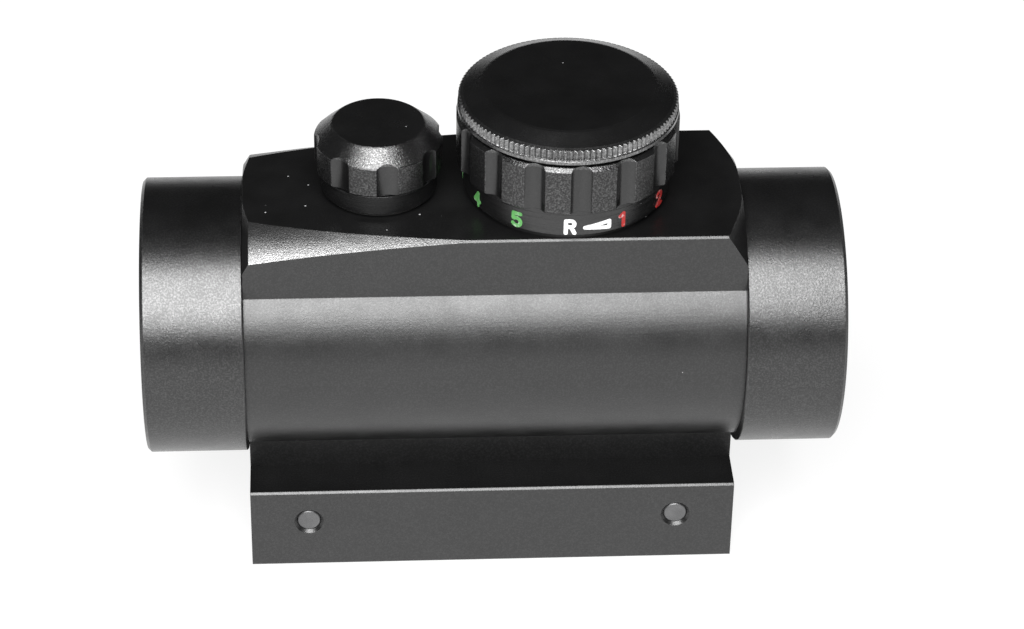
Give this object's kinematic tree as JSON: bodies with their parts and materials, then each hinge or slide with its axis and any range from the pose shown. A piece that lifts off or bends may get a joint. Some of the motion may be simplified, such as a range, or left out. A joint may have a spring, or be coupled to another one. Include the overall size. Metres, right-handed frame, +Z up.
{
  "type": "red dot finder",
  "caption": "Tube-style red dot sight with numbered brightness dial, screw-on turret caps, moving inner optical tube and a dovetail rail clamp.",
  "frame": {"origin": "centre of the base's seat face, which rests on top of the rail", "axes": "+X along the tube towards the eyepiece, +Y to the user's right where the clamp screw heads are, +Z up through the brightness dial"},
  "size_m": [0.098, 0.0513, 0.0725],
  "materials": {
    "anodised_body": "bead-blasted, black anodised",
    "anodised_cap": "bead-blasted, black anodised",
    "black_steel": "black oxide",
    "matte_black_metal": "matt black anodised",
    "brass": "machined",
    "spring_steel": "bright",
    "rubber": "moulded",
    "clear_glass": "polished",
    "coated_glass": "polished with a thin red-reflecting coating",
    "black_plastic": "moulded",
    "red_plastic": "moulded",
    "circuit_board": "solder mask"
  },
  "bodies": {
    "housing": {"housing": "anodised_body", "objective_ring": "anodised_body", "objective_window": "clear_glass", "objective_window_seal": "rubber", "objective_lock_ring": "matte_black_metal", "eyepiece_ring": "anodised_body", "eyepiece_window": "clear_glass", "eyepiece_window_seal": "rubber", "eyepiece_lock_ring": "matte_black_metal", "return_spring": "spring_steel", "elevation_bushing": "brass", "elevation_click_ball": "spring_steel", "elevation_click_spring": "spring_steel", "windage_bushing": "brass", "windage_click_ball": "spring_steel", "windage_click_spring": "spring_steel", "dial_base": "matte_black_metal", "dial_base_screws": "black_steel", "switch_board": "circuit_board", "dial_detent_ball": "spring_steel", "dial_detent_spring": "spring_steel", "dial_retainer": "spring_steel", "dial_retainer_screw": "black_steel", "dial_hub_seal": "rubber"},
    "dial": {"dial": "anodised_cap", "dial_wiper": "spring_steel", "battery_tray": "black_plastic", "battery_contact": "brass", "battery": "spring_steel"},
    "battery_seal": {"battery_cap_seal": "rubber"},
    "battery_cap": {"battery_cap": "anodised_cap", "battery_spring": "spring_steel"},
    "elevation_seal": {"elevation_cap_seal": "rubber"},
    "elevation_cap": {"elevation_cap": "anodised_cap"},
    "elevation_drum": {"elevation_drum": "brass", "elevation_drum_clip": "black_steel"},
    "elevation_plunger": {"elevation_plunger": "brass"},
    "windage_seal": {"windage_cap_seal": "rubber"},
    "windage_cap": {"windage_cap": "anodised_cap"},
    "windage_drum": {"windage_drum": "brass", "windage_drum_clip": "black_steel"},
    "windage_plunger": {"windage_plunger": "brass"},
    "pivot_ring": {"pivot_ring": "matte_black_metal", "pivot_pins": "spring_steel"},
    "inner_tube": {"inner_tube": "matte_black_metal", "reflex_lens": "coated_glass", "lens_retainer": "matte_black_metal", "emitter_holder": "black_plastic", "emitter": "red_plastic", "emitter_aperture": "spring_steel", "emitter_lead": "red_plastic"},
    "clamp_jaw": {"clamp_jaw": "anodised_body", "clamp_washers": "black_steel"},
    "front_screw": {"front_clamp_screw": "black_steel"},
    "rear_screw": {"rear_clamp_screw": "black_steel"}
  },
  "joints": [
    {"name": "dial_turn", "type": "hinge", "parent": "housing", "child": "dial", "pos_m": [0.0104, 0, 0.05047], "axis": [0, 0, 1], "continuous": true},
    {"name": "battery_cap_lift", "type": "slide", "parent": "dial", "child": "battery_seal", "axis": [0, 0, 1], "range_m": [0, 0.003]},
    {"name": "battery_cap_turn", "type": "hinge", "parent": "battery_seal", "child": "battery_cap", "pos_m": [0.0104, 0, 0.06347], "axis": [0, 0, 1], "range_deg": [0, 1441]},
    {"name": "elevation_cap_lift", "type": "slide", "parent": "housing", "child": "elevation_seal", "axis": [0, 0, 1], "range_m": [0, 0.003]},
    {"name": "elevation_cap_turn", "type": "hinge", "parent": "elevation_seal", "child": "elevation_cap", "pos_m": [-0.01584, 0, 0.05547], "axis": [0, 0, 1], "range_deg": [0, 1441]},
    {"name": "windage_cap_lift", "type": "slide", "parent": "housing", "child": "windage_seal", "axis": [0, 1, 0], "range_m": [0, 0.003]},
    {"name": "windage_cap_turn", "type": "hinge", "parent": "windage_seal", "child": "windage_cap", "pos_m": [-0.01584, 0.026, 0.0294], "axis": [0, 1, 0], "range_deg": [0, 1441]},
    {"name": "elevation_drum_turn", "type": "hinge", "parent": "housing", "child": "elevation_drum", "pos_m": [-0.01584, 0, 0.05547], "axis": [0, 0, 1], "range_deg": [-451, 451]},
    {"name": "elevation_plunger_slide", "type": "slide", "parent": "housing", "child": "elevation_plunger", "axis": [0, 0, 1], "range_m": [-0.00063, 0.00063]},
    {"name": "windage_drum_turn", "type": "hinge", "parent": "housing", "child": "windage_drum", "pos_m": [-0.01584, 0.026, 0.0294], "axis": [0, 1, 0], "range_deg": [-451, 451]},
    {"name": "windage_plunger_slide", "type": "slide", "parent": "housing", "child": "windage_plunger", "axis": [0, 1, 0], "range_m": [-0.00063, 0.00063]},
    {"name": "tube_yaw", "type": "hinge", "parent": "housing", "child": "pivot_ring", "pos_m": [0.025, 0, 0.0294], "axis": [0, 0, 1], "range_deg": [-0.9, 0.9]},
    {"name": "tube_pitch", "type": "hinge", "parent": "pivot_ring", "child": "inner_tube", "pos_m": [0.025, 0, 0.0294], "axis": [0, 1, 0], "range_deg": [-0.9, 0.9], "deforming": ["return_spring"]},
    {"name": "clamp_jaw_slide", "type": "slide", "parent": "housing", "child": "clamp_jaw", "axis": [0, 1, 0], "range_m": [-0.0007, 0.0042]},
    {"name": "front_screw_turn", "type": "hinge", "parent": "clamp_jaw", "child": "front_screw", "pos_m": [-0.02655, 0.0149, 0.0023], "axis": [0, 1, 0], "range_deg": [-361, 2161]},
    {"name": "rear_screw_turn", "type": "hinge", "parent": "clamp_jaw", "child": "rear_screw", "pos_m": [0.02655, 0.0149, 0.0023], "axis": [0, 1, 0], "range_deg": [-361, 2161]}
  ],
  "couplings": [
    {"joint": "battery_cap_turn", "follows": "battery_cap_lift", "rad_per_m": 8377.6},
    {"joint": "elevation_cap_turn", "follows": "elevation_cap_lift", "rad_per_m": 8377.6},
    {"joint": "windage_cap_turn", "follows": "windage_cap_lift", "rad_per_m": 8377.6},
    {"joint": "elevation_drum_turn", "follows": "elevation_plunger_slide", "rad_per_m": 12566},
    {"joint": "tube_pitch", "follows": "elevation_plunger_slide", "rad_per_m": 24.486},
    {"joint": "windage_drum_turn", "follows": "windage_plunger_slide", "rad_per_m": 12566},
    {"joint": "tube_yaw", "follows": "windage_plunger_slide", "rad_per_m": -24.486},
    {"joint": "front_screw_turn", "follows": "clamp_jaw_slide", "rad_per_m": 8976},
    {"joint": "rear_screw_turn", "follows": "clamp_jaw_slide", "rad_per_m": 8976}
  ]
}
